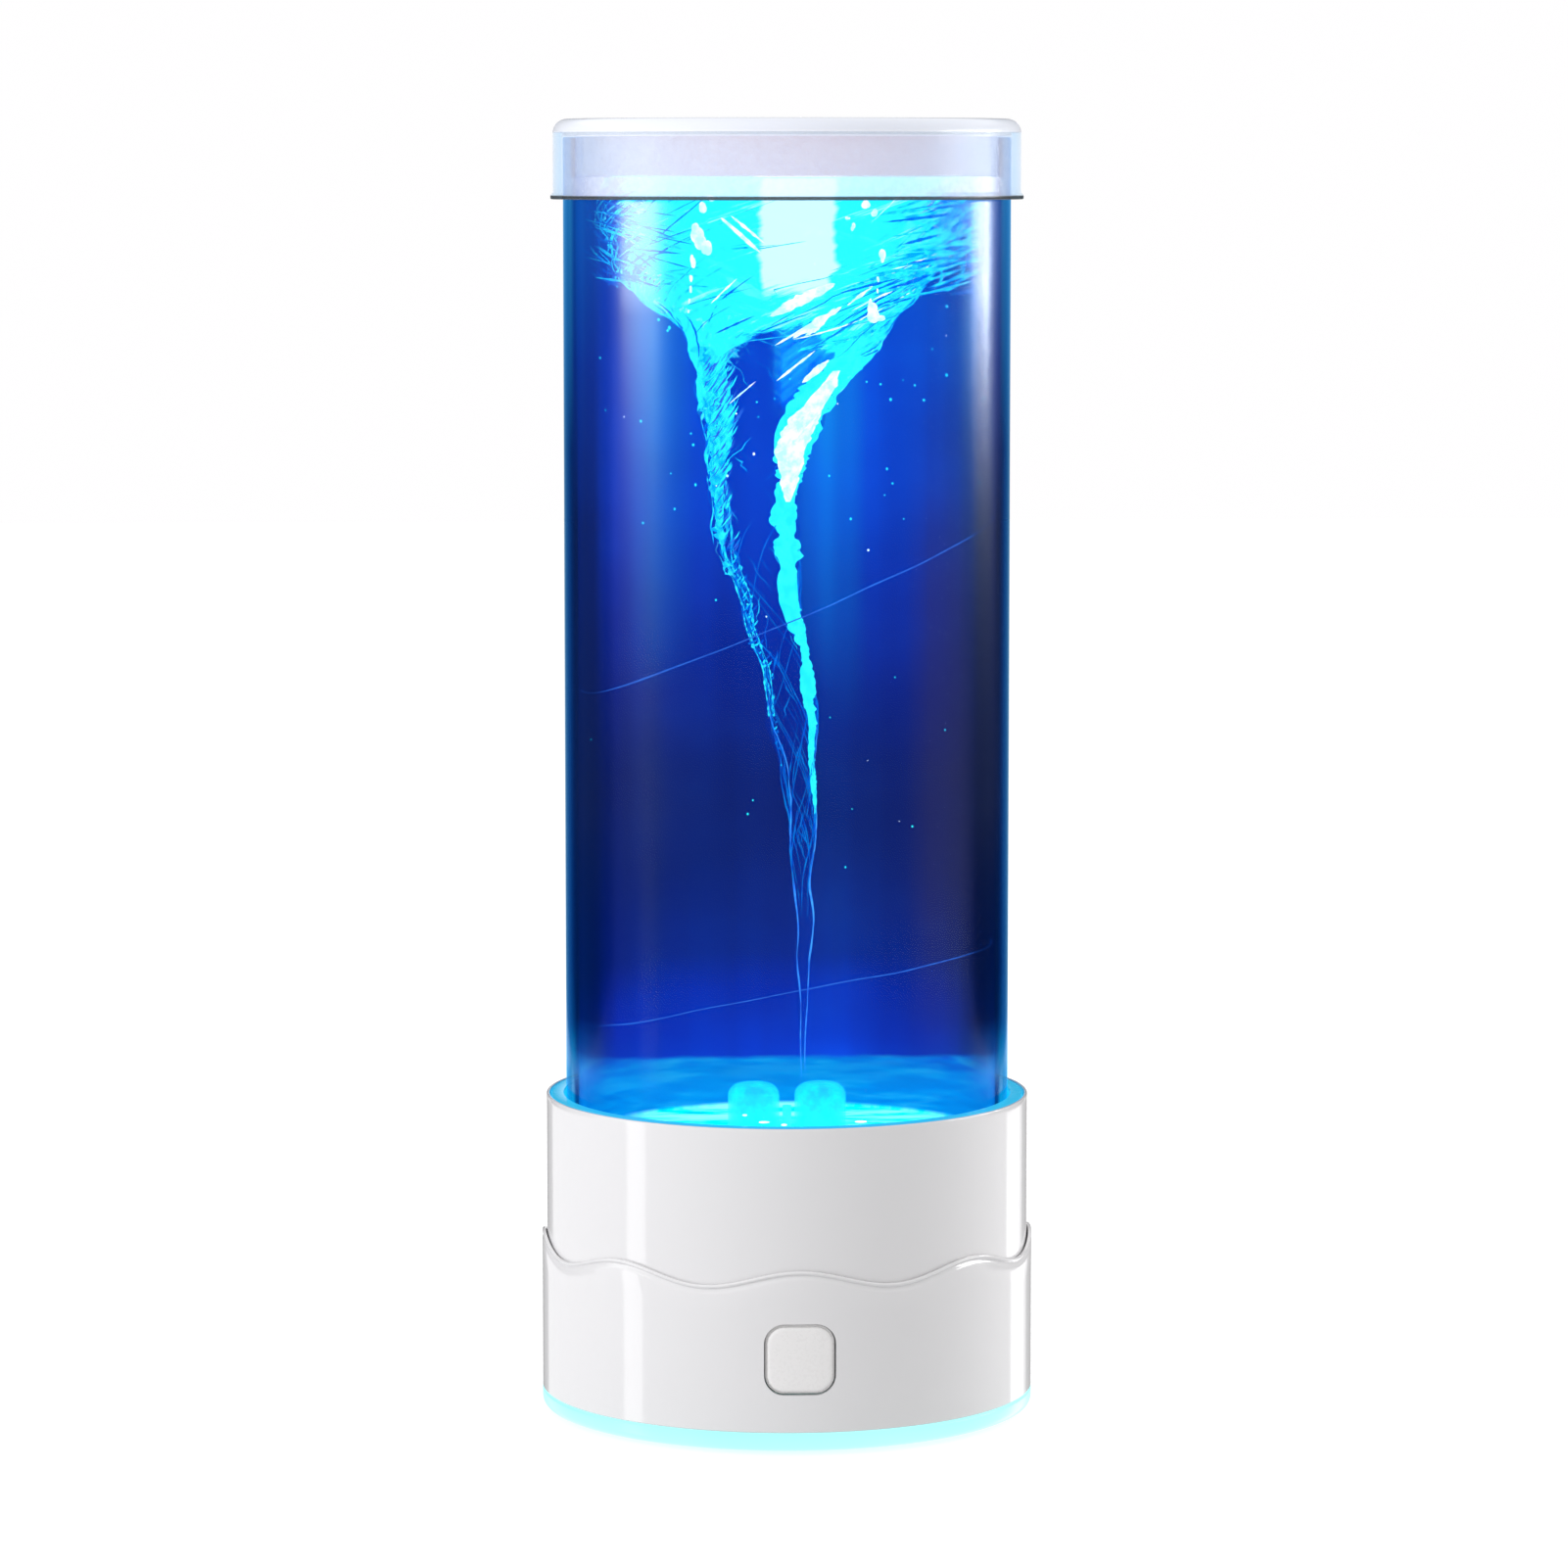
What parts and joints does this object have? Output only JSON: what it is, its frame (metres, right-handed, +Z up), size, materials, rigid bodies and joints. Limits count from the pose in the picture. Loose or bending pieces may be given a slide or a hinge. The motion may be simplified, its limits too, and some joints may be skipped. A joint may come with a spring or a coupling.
{
  "type": "tornado lamp",
  "caption": "Table lamp with a lit blue water tube, a magnet-driven vortex, a clear cap and a round white base with a wavy seam, a glow ring and a square button.",
  "frame": {"origin": "centre of the footprint, on the surface that the lamp stands on", "axes": "+Z up along the tube, -Y towards the button, +X to the right seen from the front"},
  "size_m": [0.1, 0.1, 0.262],
  "materials": {
    "white_plastic": "high-gloss white, moulded",
    "button_plastic": "satin off-white",
    "frosted_clear": "lightly frosted clear",
    "clear_acrylic": "polished clear acrylic",
    "blue_water": "clear blue water, lit from below",
    "lit_cyan": "milky diffuser, lit cyan",
    "impeller_frost": "frosted clear, lit from below",
    "plug_white": "satin pale lavender white",
    "seal_rubber": "soft grey silicone",
    "foot_rubber": "matte black",
    "chassis_plastic": "plain moulded",
    "circuit_board": "solder mask",
    "led_package": "lens over phosphor",
    "motor_steel": "plated",
    "magnet_nickel": "nickel plated",
    "screw_steel": "zinc plated",
    "switch_black": "moulded black",
    "wire_red": "insulation"
  },
  "bodies": {
    "base": {"bottom_plate": "white_plastic", "glow_ring": "lit_cyan", "lower_shell": "white_plastic", "upper_shell": "white_plastic", "light_ring": "lit_cyan", "chassis": "chassis_plastic", "tube": "clear_acrylic", "tank_floor": "clear_acrylic", "floor_seal": "seal_rubber", "liquid": "blue_water", "impeller_pin": "motor_steel", "led_board": "circuit_board", "motor": "motor_steel", "motor_cup": "chassis_plastic", "control_board": "circuit_board", "power_socket": "switch_black", "switch_board": "circuit_board", "switch_body": "switch_black", "glow_board": "circuit_board", "motor_lead": "wire_red", "led_lead": "wire_red", "switch_lead": "wire_red", "glow_lead": "wire_red", "foot_1": "foot_rubber", "base_screw_1": "screw_steel", "glow_led_1": "led_package", "foot_2": "foot_rubber", "base_screw_2": "screw_steel", "glow_led_2": "led_package", "foot_3": "foot_rubber", "base_screw_3": "screw_steel", "glow_led_3": "led_package", "foot_4": "foot_rubber", "base_screw_4": "screw_steel", "glow_led_4": "led_package", "led_1": "led_package", "led_2": "led_package", "led_3": "led_package", "led_4": "led_package", "led_5": "led_package", "led_6": "led_package", "motor_screw_1": "screw_steel", "board_screw_1": "screw_steel", "switch_screw_1": "screw_steel", "motor_screw_2": "screw_steel", "board_screw_2": "screw_steel", "switch_screw_2": "screw_steel"},
    "cap": {"top_cap": "frosted_clear", "cap_plug": "plug_white", "cap_seal": "seal_rubber"},
    "button": {"button_cap": "button_plastic", "switch_plunger": "switch_black"},
    "rotor": {"motor_shaft": "screw_steel", "magnet_carrier": "chassis_plastic", "drive_magnet_1": "magnet_nickel", "drive_magnet_2": "magnet_nickel"},
    "impeller": {"impeller": "impeller_frost", "impeller_magnet_1": "magnet_nickel", "impeller_magnet_2": "magnet_nickel"}
  },
  "joints": [
    {"name": "cap_lift", "type": "slide", "parent": "base", "child": "cap", "axis": [0, 0, 1], "range_m": [0, 0.04]},
    {"name": "button_press", "type": "slide", "parent": "base", "child": "button", "axis": [0, 1, 0], "range_m": [0, 0.0006], "stiffness_N_per_m": 400, "springref_m": -0.002},
    {"name": "rotor_spin", "type": "hinge", "parent": "base", "child": "rotor", "pos_m": [0, 0, 0.045], "axis": [0, 0, 1], "continuous": true},
    {"name": "impeller_spin", "type": "hinge", "parent": "base", "child": "impeller", "pos_m": [0, 0, 0.056], "axis": [0, 0, 1], "continuous": true}
  ],
  "couplings": [
    {"joint": "impeller_spin", "follows": "rotor_spin", "ratio": 1}
  ]
}
